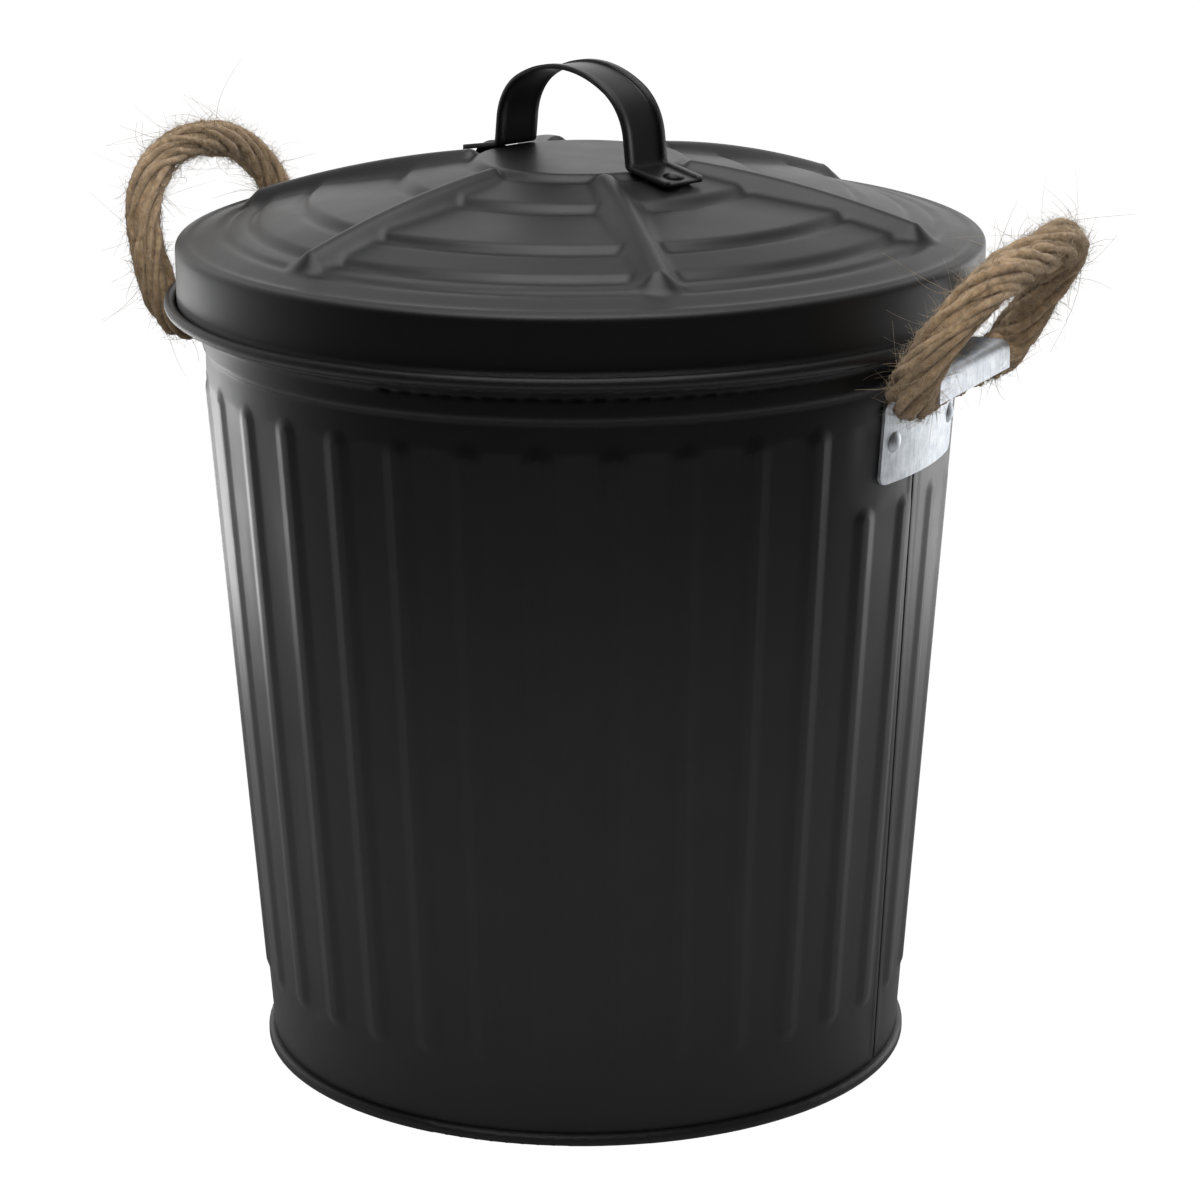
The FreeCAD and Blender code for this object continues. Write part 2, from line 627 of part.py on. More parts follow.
def make_lid_pan():
    line = lid_line()
    radii = [0.0, LID_TOP_ROUND] + [LID_STEP_ROUND] * (len(line) - 3) + [0.0]
    inner_line = offset_line(line, -LID_SHEET)
    inner_radii = offset_radii(line, radii, -LID_SHEET)
    outer = filled(line, radii)
    inner = filled(inner_line, inner_radii)
    outside = []
    inside = []
    for i in range(RIBS):
        turn = i * 360.0 / RIBS
        outside.append(placed(rib_block(0.0), turn))
        inside.append(placed(rib_block(LID_SHEET), turn))
    for turn in (GRIP_TURN, GRIP_TURN + 180.0):
        outside.append(placed(boss_block(0.0), turn))
        inside.append(placed(boss_block(LID_SHEET), turn))
    pan = outer.fuse(outside).cut(inner.fuse(inside))
    hem_at = Vector(0, 0, LID_SEAT_Z)
    hem = Part.makeCylinder(LID_R, HEM_HEIGHT, hem_at)
    hem = hem.cut(Part.makeCylinder(LID_R - 2.0 * LID_SHEET, HEM_HEIGHT, hem_at))
    pan = pan.fuse(hem)
    for turn in (GRIP_TURN, GRIP_TURN + 180.0):
        pan = pan.cut(placed(lid_rivet_hole(), turn))
    return pan


def lid_rivet_hole():
    reach = 4.0 * (LID_SHEET + GRIP_SHEET)
    hole = Part.makeCylinder(LID_RIVET_R, 2.0 * reach, Vector(0, 0, -reach))
    hole.Placement = foot_place().multiply(hole.Placement)
    return hole


def make_lid_rivet():
    body = rivet(LID_RIVET_R, LID_SHEET + GRIP_SHEET + CLEAR, LID_RIVET_HEAD, LID_RIVET_TAIL)
    body.translate(Vector(0, 0, -LID_SHEET - CLEAR))
    body.Placement = foot_place().multiply(body.Placement)
    return body


def grip_line():
    """Half of the underside of the lid handle, from the crown to the end of the foot."""
    drop = math.tan(math.radians(FOOT_SLOPE))
    crown_z = LID_TOP_Z + GRIP_RISE
    slope = math.radians(CROWN_SLOPE)
    lean = math.tan(math.radians(LEG_LEAN))
    apex = crown_z + CROWN_ROUND * (1.0 / math.cos(slope) - 1.0)
    foot = LID_TOP_Z + CLEAR + drop * LID_TOP_R
    ankle_z = (foot - drop * (GRIP_LEG + lean * LID_TOP_Z)) / (1.0 - drop * lean)
    ankle = (GRIP_LEG + lean * (LID_TOP_Z - ankle_z), ankle_z)
    fall = math.tan(slope)
    haunch_z = (apex - fall * (GRIP_LEG + lean * LID_TOP_Z)) / (1.0 - fall * lean)
    haunch = (GRIP_LEG + lean * (LID_TOP_Z - haunch_z), haunch_z)
    end = (GRIP_REACH, foot - drop * GRIP_REACH)
    return (0.0, apex), haunch, ankle, end


def make_lid_handle():
    apex, haunch, ankle, end = grip_line()
    half = [haunch, ankle, end]
    line = [(-p[0], p[1]) for p in half[::-1]] + [apex] + half
    bends = [0.0, ANKLE_ROUND, HAUNCH_ROUND, CROWN_ROUND, HAUNCH_ROUND, ANKLE_ROUND, 0.0]
    web = sheet_face(line, bends, GRIP_SHEET).extrude(Vector(0, GRIP_WIDTH, 0))
    web.translate(Vector(0, -GRIP_WIDTH / 2.0, 0))
    hem = sheet_face(line, bends, GRIP_HEM).extrude(Vector(0, GRIP_HEM_WIDTH, 0))
    hems = []
    for y in (-GRIP_WIDTH / 2.0, GRIP_WIDTH / 2.0 - GRIP_HEM_WIDTH):
        one = hem.copy()
        one.translate(Vector(0, y, 0))
        hems.append(one)
    strap = web.fuse(hems)
    plan = Part.makeBox(2.0 * GRIP_REACH, GRIP_WIDTH, 2.0 * LID_TOP_Z,
                        Vector(-GRIP_REACH, -GRIP_WIDTH / 2.0, 0))
    upright = [e for e in plan.Edges if abs(e.tangentAt(e.FirstParameter).z) > 0.5]
    strap = strap.common(plan.makeFillet(FOOT_ROUND, upright))
    for turn in (0.0, 180.0):
        strap = strap.cut(placed(lid_rivet_hole(), turn))
    return strap


# ---- build ----
wall = make_can_wall()
bracket = make_bracket()
for turn in (0.0, 180.0):
    for side in (-1, 1):
        wall = wall.cut(placed(bracket_rivet_tool(side), turn))
save("can_wall", wall)
save("rim_wire", make_rim_wire())
save("bottom_pan", make_bottom_pan())
for name, turn, lean in (("right", 0.0, LEAN_RIGHT), ("left", 180.0, LEAN_LEFT)):
    save("bracket_" + name, placed(bracket, turn))
    for number, side in ((1, -1), (2, 1)):
        save("bracket_rivet_" + name + "_" + str(number), placed(make_bracket_rivet(side), turn))
    save("rope_handle_" + name, placed(make_rope(lean), turn))
save("lid_pan", placed(make_lid_pan(), LID_TURN - 90.0))
save("lid_handle", placed(make_lid_handle(), LID_TURN + GRIP_TURN - 90.0))
for number, turn in ((1, 0.0), (2, 180.0)):
    save("lid_rivet_" + str(number), placed(make_lid_rivet(), LID_TURN + GRIP_TURN - 90.0 + turn))
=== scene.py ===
import math
import random

import bmesh
import bpy
from mathutils import Matrix, Vector
from mathutils.noise import noise as noise_at


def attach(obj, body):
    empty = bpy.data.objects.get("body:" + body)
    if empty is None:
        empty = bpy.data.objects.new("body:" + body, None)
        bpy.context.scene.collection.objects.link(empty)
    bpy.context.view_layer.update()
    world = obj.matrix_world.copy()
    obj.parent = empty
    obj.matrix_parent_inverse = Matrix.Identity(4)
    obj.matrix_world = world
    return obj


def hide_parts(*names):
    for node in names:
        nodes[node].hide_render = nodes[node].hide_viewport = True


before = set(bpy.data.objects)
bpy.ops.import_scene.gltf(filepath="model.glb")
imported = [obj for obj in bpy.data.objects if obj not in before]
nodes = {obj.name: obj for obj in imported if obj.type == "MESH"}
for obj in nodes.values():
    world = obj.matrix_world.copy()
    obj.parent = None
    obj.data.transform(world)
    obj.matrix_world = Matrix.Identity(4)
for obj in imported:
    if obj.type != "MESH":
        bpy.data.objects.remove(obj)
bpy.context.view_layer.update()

# ---- camera ----
CAMERA_TURN = math.radians(27.3)
CAMERA_BACK = 1.37509
CAMERA_UP = 0.55445
YAW, PITCH, ROLL = 0.0044, 0.28, -0.0054
LENS = 121.48
SENSOR = 36.0


def camera():
    ahead = Vector((math.sin(YAW) * math.cos(PITCH), math.cos(YAW) * math.cos(PITCH),
                    -math.sin(PITCH)))
    across = Vector((math.cos(YAW), -math.sin(YAW), 0.0))
    up = across.cross(ahead)
    right = across * math.cos(ROLL) + up * math.sin(ROLL)
    top = up * math.cos(ROLL) - across * math.sin(ROLL)
    turn = Matrix.Rotation(CAMERA_TURN, 4, "Z")
    basis = Matrix((right, top, -ahead)).transposed().to_4x4()
    data = bpy.data.cameras.new("camera")
    data.sensor_width = SENSOR
    data.lens = LENS
    data.clip_start = 0.05
    data.clip_end = 100.0
    cam = bpy.data.objects.new("camera", data)
    cam.matrix_world = turn @ Matrix.Translation((0.0, -CAMERA_BACK, CAMERA_UP)) @ basis
    bpy.context.scene.collection.objects.link(cam)
    bpy.context.scene.camera = cam


camera()


# ---- material helpers ----
def material(name):
    m = bpy.data.materials.new(name)
    m.use_nodes = True
    tree = m.node_tree
    shader = tree.nodes["Principled BSDF"]
    return m, tree, shader


def add(tree, kind, **values):
    """A new node, with values for its inputs or for its own settings."""
    node = tree.nodes.new(kind)
    for key, value in values.items():
        if key in node.inputs:
            node.inputs[key].default_value = value
        else:
            setattr(node, key.lower().replace(" ", "_"), value)
    return node


def noise(tree, vector, scale, detail=3.0, rough=0.5):
    node = add(tree, "ShaderNodeTexNoise", Scale=scale, Detail=detail, Roughness=rough)
    tree.links.new(vector, node.inputs["Vector"])
    return node.outputs["Fac"]


def ramp(tree, value, stops):
    """A colour read from a value, with stops from low to high."""
    node = tree.nodes.new("ShaderNodeValToRGB")
    bar = node.color_ramp
    bar.elements.remove(bar.elements[1])
    bar.elements[0].position = stops[0][0]
    bar.elements[0].color = (*stops[0][1], 1.0)
    for at, colour in stops[1:]:
        bar.elements.new(at).color = (*colour, 1.0)
    tree.links.new(value, node.inputs["Fac"])
    return node.outputs["Color"]


def remap(tree, value, low, high, start=0.0, stop=1.0):
    node = tree.nodes.new("ShaderNodeMapRange")
    node.inputs["From Min"].default_value = start
    node.inputs["From Max"].default_value = stop
    node.inputs["To Min"].default_value = low
    node.inputs["To Max"].default_value = high
    tree.links.new(value, node.inputs["Value"])
    return node.outputs["Result"]


def stretched(tree, vector, scale):
    node = tree.nodes.new("ShaderNodeMapping")
    node.inputs["Scale"].default_value = scale
    tree.links.new(vector, node.inputs["Vector"])
    return node.outputs["Vector"]


def bump(tree, height, strength, distance, normal=None):
    node = tree.nodes.new("ShaderNodeBump")
    node.inputs["Strength"].default_value = strength
    node.inputs["Distance"].default_value = distance
    tree.links.new(height, node.inputs["Height"])
    if normal is not None:
        tree.links.new(normal, node.inputs["Normal"])
    return node.outputs["Normal"]


def where(tree, kind="Object"):
    return tree.nodes.new("ShaderNodeTexCoord").outputs[kind]


# ---- materials ----
PAINT_LOW = (0.0035, 0.0035, 0.0037)
PAINT_HIGH = (0.0048, 0.0048, 0.005)
DUST = (0.16, 0.15, 0.14, 1.0)
EDGE_ROUND = 0.0026  # how far pressed edges are softened
EDGE_SAMPLES = 6


def black_paint(name, rough_low, rough_high):
    """Satin black paint with fine dust and a slight unevenness."""
    m, tree, shader = material(name)
    place = where(tree)
    cloud = noise(tree, place, 18.0, 4.0, 0.6)
    tint = ramp(tree, cloud, [(0.3, PAINT_LOW), (0.75, PAINT_HIGH)])
    specks = add(tree, "ShaderNodeTexVoronoi", Scale=210.0)
    tree.links.new(place, specks.inputs["Vector"])
    dust = ramp(tree, specks.outputs["Distance"], [(0.0, (1, 1, 1)), (0.05, (0, 0, 0))])
    pick = ramp(tree, noise(tree, place, 95.0, 2.0), [(0.66, (0, 0, 0)), (0.72, (1, 1, 1))])
    both = add(tree, "ShaderNodeMix", data_type="RGBA", blend_type="MULTIPLY")
    both.inputs["Factor"].default_value = 1.0
    tree.links.new(dust, both.inputs["A"])
    tree.links.new(pick, both.inputs["B"])
    mix = add(tree, "ShaderNodeMix", data_type="RGBA")
    tree.links.new(both.outputs["Result"], mix.inputs["Factor"])
    tree.links.new(tint, mix.inputs["A"])
    mix.inputs["B"].default_value = DUST
    tree.links.new(mix.outputs["Result"], shader.inputs["Base Color"])
    tree.links.new(remap(tree, noise(tree, place, 60.0, 3.0), rough_low, rough_high),
                   shader.inputs["Roughness"])
    shader.inputs["Specular IOR Level"].default_value = 0.45
    soft = tree.nodes.new("ShaderNodeBevel")
    soft.samples = EDGE_SAMPLES
    soft.inputs["Radius"].default_value = EDGE_ROUND
    sheet = bump(tree, noise(tree, place, 24.0, 2.0), 0.12, 0.0012, soft.outputs["Normal"])
    peel = bump(tree, noise(tree, place, 1500.0, 2.0, 0.6), 0.10, 0.00012, sheet)
    tree.links.new(peel, shader.inputs["Normal"])
    return m


def galvanized(name):
    """Bare zinc with drawn streaks and faint spangle."""
    m, tree, shader = material(name)
    place = where(tree)
    streak = noise(tree, stretched(tree, place, (900.0, 900.0, 45.0)), 1.0, 4.0, 0.65)
    fine = noise(tree, stretched(tree, place, (2600.0, 2600.0, 60.0)), 1.0, 3.0, 0.6)
    spangle = noise(tree, place, 190.0, 3.0, 0.7)
    tint = ramp(tree, streak, [(0.30, (0.66, 0.70, 0.735)), (0.62, (0.86, 0.89, 0.92))])
    blot = ramp(tree, spangle, [(0.36, (0.72, 0.74, 0.77)), (0.62, (1.0, 1.0, 1.0))])
    mix = add(tree, "ShaderNodeMix", data_type="RGBA", blend_type="MULTIPLY")
    mix.inputs["Factor"].default_value = 0.8
    tree.links.new(tint, mix.inputs["A"])
    tree.links.new(blot, mix.inputs["B"])
    tree.links.new(mix.outputs["Result"], shader.inputs["Base Color"])
    shader.inputs["Metallic"].default_value = 1.0
    tree.links.new(remap(tree, fine, 0.46, 0.66), shader.inputs["Roughness"])
    tree.links.new(bump(tree, fine, 0.25, 0.00008), shader.inputs["Normal"])
    return m


def jute(name, low, middle, high):
    """Fibres that run along the map of a yarn, in three shades."""
    m, tree, shader = material(name)
    lay = where(tree, "UV")
    fibre = noise(tree, stretched(tree, lay, (0.22, 34.0, 1.0)), 1.0, 5.0, 0.75)
    patch = noise(tree, where(tree), 330.0, 5.0, 0.75)
    total = add(tree, "ShaderNodeMath", operation="ADD")
    tree.links.new(fibre, total.inputs[0])
    tree.links.new(remap(tree, patch, -0.32, 0.32), total.inputs[1])
    tree.links.new(ramp(tree, total.outputs["Value"], [(0.28, low), (0.46, middle), (0.70, high)]),
                   shader.inputs["Base Color"])
    shader.inputs["Roughness"].default_value = 0.9
    shader.inputs["Specular IOR Level"].default_value = 0.2
    shader.inputs["Sheen Weight"].default_value = 0.3
    shader.inputs["Sheen Roughness"].default_value = 0.5
    tree.links.new(bump(tree, fibre, 1.0, 0.0006), shader.inputs["Normal"])
    return m


paint = black_paint("black_paint", 0.36, 0.46)
paint_grip = black_paint("black_paint_grip", 0.30, 0.40)
zinc = galvanized("galvanized_steel")
yarn = jute("jute", (0.13, 0.072, 0.032), (0.40, 0.262, 0.140), (0.66, 0.48, 0.30))
fluff = jute("jute_fibre", (0.36, 0.245, 0.13), (0.56, 0.41, 0.245), (0.76, 0.60, 0.40))

for name, node in nodes.items():
    if name.startswith("bracket") or name == "rim_wire":
        look = zinc
    elif name in ("lid_handle", "lid_rivet_1", "lid_rivet_2"):
        look = paint_grip
    else:
        look = paint
    node.data.materials.clear()
    node.data.materials.append(look)


# ---- pressed lid ----
# one smooth sheet in place of the CAD lid, in metres; its steps and rings are listed below
LID_R = 0.13910
LID_TOP_R = 0.0352
LID_TOP_Z = 0.3172
LID_SEAT_Z = 0.26665
LID_SHEET = 0.0006
LID_TURN = math.radians(39.3 - 90.0)
LID_STEPS = [
    (0.0, 0.3172), (0.0352, 0.3172), (0.0382, 0.3147), (0.0410, 0.3146), (0.0585, 0.3114),
    (0.0622, 0.3085), (0.0655, 0.3086), (0.0921, 0.3042), (0.0952, 0.3013), (0.0985, 0.3014),
    (0.1102, 0.2981), (0.1132, 0.2956), (0.1162, 0.2957), (0.1203, 0.2950), (0.1217, 0.2937),
    (0.1255, 0.2938), (0.1335, 0.2914), (0.1345, 0.2917), (0.1358, 0.2917), (0.1372, 0.2907)]
STEP_SOFT = 0.0005
SOFT_SHARES = [(-2, 0.1), (-1, 0.2), (0, 0.4), (1, 0.2), (2, 0.1)]
SHOULDER = 0.0023
SHOULDER_FROM = math.radians(8.0)
SHOULDER_ROWS = 8
SKIRT_ROWS = 8
HEM_HEIGHT = 0.005
RIBS = 6
RIB_FIRST, RIB_MIDDLE, RIB_LAST = (0.0400, 0.3179), (0.0826, 0.3104), (0.1172, 0.3006)
RIB_ROUND = 0.0040
RIB_FLANK = math.radians(41.0)
RIB_SOFT = 0.0014
NOSE_STEEP = 1.15
GRIP_TURN = math.radians(30.0)
BOSS_AT, BOSS_TOP_R, BOSS_SLOPE, BOSS_SOFT = 0.0465, 0.0048, 1.5, 0.0006
FOOT_FALL = math.tan(math.radians(10.0))
AROUND = 480
ANGLES = [2.0 * math.pi * k / AROUND for k in range(AROUND)]
ROW = 0.0007


def stepped(r):
    """Height of the stepped sheet at a radius, its corners not yet softened."""
    for (r0, z0), (r1, z1) in zip(LID_STEPS, LID_STEPS[1:]):
        if r <= r1:
            return z0 + (z1 - z0) * (r - r0) / (r1 - r0)
    (r0, z0), (r1, z1) = LID_STEPS[-2:]
    return z1 + (z1 - z0) * (r - r1) / (r1 - r0)


def softened(r):
    """The stepped height averaged over nearby radii."""
    return sum(share * stepped(abs(r + i * STEP_SOFT)) for i, share in SOFT_SHARES)


def crest_height(x):
    """Height of a rib's crest: the parabola through its three points."""
    (ax, az), (bx, bz), (cx, cz) = RIB_FIRST, RIB_MIDDLE, RIB_LAST
    return (az * (x - bx) * (x - cx) / ((ax - bx) * (ax - cx))
            + bz * (x - ax) * (x - cx) / ((bx - ax) * (bx - cx))
            + cz * (x - ax) * (x - bx) / ((cx - ax) * (cx - bx)))


def rib_height(x, y):
    """Height of a rib that lies on +X: a round crest, straight flanks and round ends."""
    on = min(max(x, RIB_FIRST[0]), RIB_LAST[0])
    off = math.hypot((x - on) * NOSE_STEEP, y)
    touch = RIB_ROUND * math.sin(RIB_FLANK)
    if off < touch:
        drop = RIB_ROUND - math.sqrt(RIB_ROUND * RIB_ROUND - off * off)
    else:
        drop = RIB_ROUND * (1.0 - math.cos(RIB_FLANK)) + (off - touch) * math.tan(RIB_FLANK)
    return crest_height(on) - drop


def joined(a, b, soft):
    """The higher of two heights, with a soft valley between them."""
    near = max(soft - abs(a - b), 0.0) / soft
    return max(a, b) + near * near * soft / 4.0


def turned(x, y, angle):
    """A point seen from axes that are turned by an angle."""
    return (x * math.cos(angle) + y * math.sin(angle), y * math.cos(angle) - x * math.sin(angle))


def sheet_height(r, angle):
    """Height of the lid's top: the steps, the nearest rib and the two rivet bosses."""
    z = softened(r)
    x, y = r * math.cos(angle), r * math.sin(angle)
    nearest = round((angle - LID_TURN) / (2.0 * math.pi / RIBS)) * 2.0 * math.pi / RIBS + LID_TURN
    z = joined(z, rib_height(*turned(x, y, nearest)), RIB_SOFT)
    for turn in (0.0, math.pi):
        bx, by = turned(x, y, LID_TURN + GRIP_TURN + turn)
        if bx > 0.0:
            boss = LID_TOP_Z - FOOT_FALL * (bx - LID_TOP_R)
            boss -= BOSS_SLOPE * max(0.0, math.hypot(bx - BOSS_AT, by) - BOSS_TOP_R)
            z = joined(z, boss, BOSS_SOFT)
    return z


def lid_rows():
    """Rings of points from the middle over the shoulder and down the skirt."""
    edge = LID_R - SHOULDER
    rows = []
    count = round(edge / ROW)
    for i in range(1, count + 1):
        r = edge * i / count
        rows.append([(r, a, sheet_height(r, a)) for a in ANGLES])
    top = rows[-1][0][2]
    for i in range(1, SHOULDER_ROWS + 1):
        bend = SHOULDER_FROM + (math.pi / 2.0 - SHOULDER_FROM) * i / SHOULDER_ROWS
        r, z = edge + SHOULDER * math.sin(bend), top - SHOULDER * (1.0 - math.cos(bend))
        rows.append([(r, a, z) for a in ANGLES])
    low = rows[-1][0][2]
    for i in range(1, SKIRT_ROWS + 1):
        z = low + (LID_SEAT_Z - low) * i / SKIRT_ROWS
        rows.append([(LID_R, a, z) for a in ANGLES])
    return [[Vector((r * math.cos(a), r * math.sin(a), z)) for r, a, z in row] for row in rows]


def under(rows, i, k):
    """The point of the sheet's underside below a point of its top."""
    above, below = rows[max(i - 1, 0)][k], rows[min(i + 1, len(rows) - 1)][k]
    left, right = rows[i][k - 1], rows[i][(k + 1) % AROUND]
    out = (right - left).cross(above - below).normalized()
    return rows[i][k] - out * LID_SHEET


def pressed_lid():
    """The whole lid as a closed sheet: top, hem and underside."""
    rows = lid_rows()
    inner = [[under(rows, i, k) for k in range(AROUND)] for i in range(len(rows) - 2)]
    hem = []
    hem_r, hem_top = LID_R - 2.0 * LID_SHEET, LID_SEAT_Z + HEM_HEIGHT
    for r, z in ((hem_r, LID_SEAT_Z), (hem_r, hem_top), (LID_R - LID_SHEET, hem_top)):
        hem.append([Vector((r * math.cos(a), r * math.sin(a), z)) for a in ANGLES])
    rings = rows + hem + inner[::-1]
    verts = [point for ring in rings for point in ring]
    faces = []
    for i in range(len(rings) - 1):
        for k in range(AROUND):
            k2 = (k + 1) % AROUND
            faces.append((i * AROUND + k, (i + 1) * AROUND + k,
                          (i + 1) * AROUND + k2, i * AROUND + k2))
    top, low = len(verts), len(verts) + 1
    verts += [Vector((0.0, 0.0, LID_TOP_Z)), Vector((0.0, 0.0, LID_TOP_Z - LID_SHEET))]
    last = (len(rings) - 1) * AROUND
    for k in range(AROUND):
        k2 = (k + 1) % AROUND
        faces.append((top, k, k2))
        faces.append((low, last + k2, last + k))
    mesh = bpy.data.meshes.new("pressed_lid")
    mesh.from_pydata([tuple(v) for v in verts], [], faces)
    mesh.polygons.foreach_set("use_smooth", [True] * len(mesh.polygons))
    mesh.materials.append(paint)
    piece = bpy.data.objects.new("pressed_lid", mesh)
    bpy.context.scene.collection.objects.link(piece)
    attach(piece, "lid")
    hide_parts("lid_pan")


pressed_lid()


# ---- rope handles ----
AXIS_X = 0.138968
AXIS_Z = 0.2530
# the same points as the source's, in metres: along the hood, and away from it
ROUTE_NEAR = [(0.0006, 0.0003), (0.021, -0.0004), (0.0425, 0.0006), (0.0475, 0.023),
              (0.043, 0.043), (0.027, 0.0575)]
ROUTE_TOP = (0.0, 0.0625)
# moves that make the right loop sag and lean to its back as the photo's does
MOVE_RIGHT = {3: (-0.0075, 0.001), 4: (-0.005, 0.001), 5: (-0.003, -0.003), 6: (-0.001, -0.0095),
              7: (-0.003, -0.007), 8: (-0.005, -0.001), 9: (-0.0065, 0.001)}
ROUTE_STEP = 0.0011
SLACK = 1e-12
YARNS = 12
YARN_AT = 0.0049
YARN_R = 0.0013
YARN_SIDES = 12
YARN_ROUGH = 0.00042
LAY_PITCH = 0.095
CORE_R = 0.0042
CORE_SIDES = 10
CORE_ROUGH = 0.0003
FIBRE_TWIST = 0.045
# the rope is pressed under the hood and swells where it bends beside it
HOOD_HALF = 0.03075
HOOD_EASE = 0.004
PRESSED = 0.97
SWELL, SWELL_AT, SWELL_WIDTH = 0.07, 0.012, 0.009
HAIR_ENDS = 22
HAIR_STEPS = 5
HAIR_SIDES = 3
HAIR_RADII = (0.00005, 0.00011)


def route(side, lean, moves):
    """The points of a loop, leaning out from the can by an angle in degrees."""
    angle = math.radians(lean)
    far = [(-s, u) for s, u in ROUTE_NEAR[::-1]]
    points = []
    for i, (s, u) in enumerate(ROUTE_NEAR + [ROUTE_TOP] + far):
        along, away = moves.get(i, (0.0, 0.0))
        s, u = s + along, u + away
        points.append(Vector((side * (AXIS_X + u * math.sin(angle)), side * s,
                              AXIS_Z + u * math.cos(angle))))
    return points


def centre_line(points):
    """Evenly spaced points read from the smooth spline along a route."""
    curve = bpy.data.curves.new("rope_route", "CURVE")
    curve.dimensions = "3D"
    curve.resolution_u = 24
    spline = curve.splines.new("NURBS")
    spline.points.add(len(points) - 1)
    for target, point in zip(spline.points, points):
        target.co = (*point, 1.0)
    spline.order_u = 3
    spline.use_endpoint_u = True
    holder = bpy.data.objects.new("rope_route", curve)
    bpy.context.scene.collection.objects.link(holder)
    bpy.context.view_layer.update()
    mesh = bpy.data.meshes.new_from_object(holder)
    raw = [v.co.copy() for v in mesh.vertices]
    bpy.data.objects.remove(holder)
    bpy.data.curves.remove(curve)
    bpy.data.meshes.remove(mesh)
    return resampled(raw, ROUTE_STEP)


def resampled(raw, step):
    """The same line with points at an even distance."""
    length = sum((b - a).length for a, b in zip(raw, raw[1:]))
    count = max(8, round(length / step))
    gap = length / count
    out, need = [raw[0].copy()], gap
    for a, b in zip(raw, raw[1:]):
        piece = (b - a).length
        while need <= piece + SLACK and len(out) < count:
            out.append(a.lerp(b, need / piece))
            need += gap
        need -= piece
    out.append(raw[-1].copy())
    return out


def frames(line):
    """A direction and two normals at each point, carried along without twist."""
    out = []
    normal = None
    for i, point in enumerate(line):
        ahead = (line[min(i + 1, len(line) - 1)] - line[max(i - 1, 0)]).normalized()
        if normal is None:
            normal = ahead.orthogonal().normalized()
        normal = (normal - ahead * normal.dot(ahead)).normalized()
        out.append((point, ahead, normal, ahead.cross(normal)))
    return out


def wobble(seed, at, size):
    """Smooth variation along a rope."""
    return size * (math.sin(at * 61.0 + seed * 1.7) + 0.6 * math.sin(at * 143.0 + seed * 4.1)
                   + 0.4 * math.sin(at * 307.0 + seed * 7.3)) / 2.0


def tube(verts, faces, uvs, line, radii, sides, seed, rough=0.0):
    """Closed tube along a line. The u of its map runs along it in mm, with a twist."""
    start = len(verts)
    along = 0.0
    last = line[0]
    rows = []
    for i, (point, ahead, n, b) in enumerate(frames(line)):
        along += (point - last).length
        last = point
        for k in range(sides):
            a = 2.0 * math.pi * k / sides
            out = n * math.cos(a) + b * math.sin(a)
            place = point + out * radii[i]
            if rough:
                place += out * (rough * (noise_at((place + out * 0.001 * seed) * 900.0)))
            verts.append(place)
        rows.append(along * 1000.0)
    for i in range(len(rows) - 1):
        for k in range(sides):
            k2 = (k + 1) % sides
            faces.append((start + i * sides + k, start + i * sides + k2,
                          start + (i + 1) * sides + k2, start + (i + 1) * sides + k))
            v0, v1 = k / sides + seed, (k + 1) / sides + seed
            twist0, twist1 = rows[i] * FIBRE_TWIST, rows[i + 1] * FIBRE_TWIST
            uvs.append(((rows[i], v0 + twist0), (rows[i], v1 + twist0),
                        (rows[i + 1], v1 + twist1), (rows[i + 1], v0 + twist1)))
    for row in (0, len(rows) - 1):
        ring = [start + row * sides + k for k in range(sides)]
        faces.append(tuple(ring[::-1] if row == 0 else ring))
        uvs.append(tuple((rows[row], seed + 0.01 * k) for k in range(sides)))


def mesh_piece(name, verts, faces, uvs, look):
    """A smooth mesh with its map, in the scene."""
    mesh = bpy.data.meshes.new(name)
    mesh.from_pydata([tuple(v) for v in verts], [], faces)
    layer = mesh.uv_layers.new(name="lay")
    flat = [c for face in uvs for uv in face for c in uv]
    layer.data.foreach_set("uv", flat)
    mesh.polygons.foreach_set("use_smooth", [True] * len(mesh.polygons))
    mesh.materials.append(look)
    piece = bpy.data.objects.new(name, mesh)
    bpy.context.scene.collection.objects.link(piece)
    return piece


def girth(at, length, full):
    """Share of the full thickness: pressed under the hood, swollen at the bend beside it."""
    reach = min(at, length - at)
    if reach < HOOD_HALF - HOOD_EASE:
        return PRESSED
    swell = math.exp(-((reach - HOOD_HALF - SWELL_AT) / SWELL_WIDTH) ** 2)
    rise = min(1.0, (reach - HOOD_HALF + HOOD_EASE) / (2.0 * HOOD_EASE))
    return PRESSED + (full - PRESSED) * rise + SWELL * swell * rise


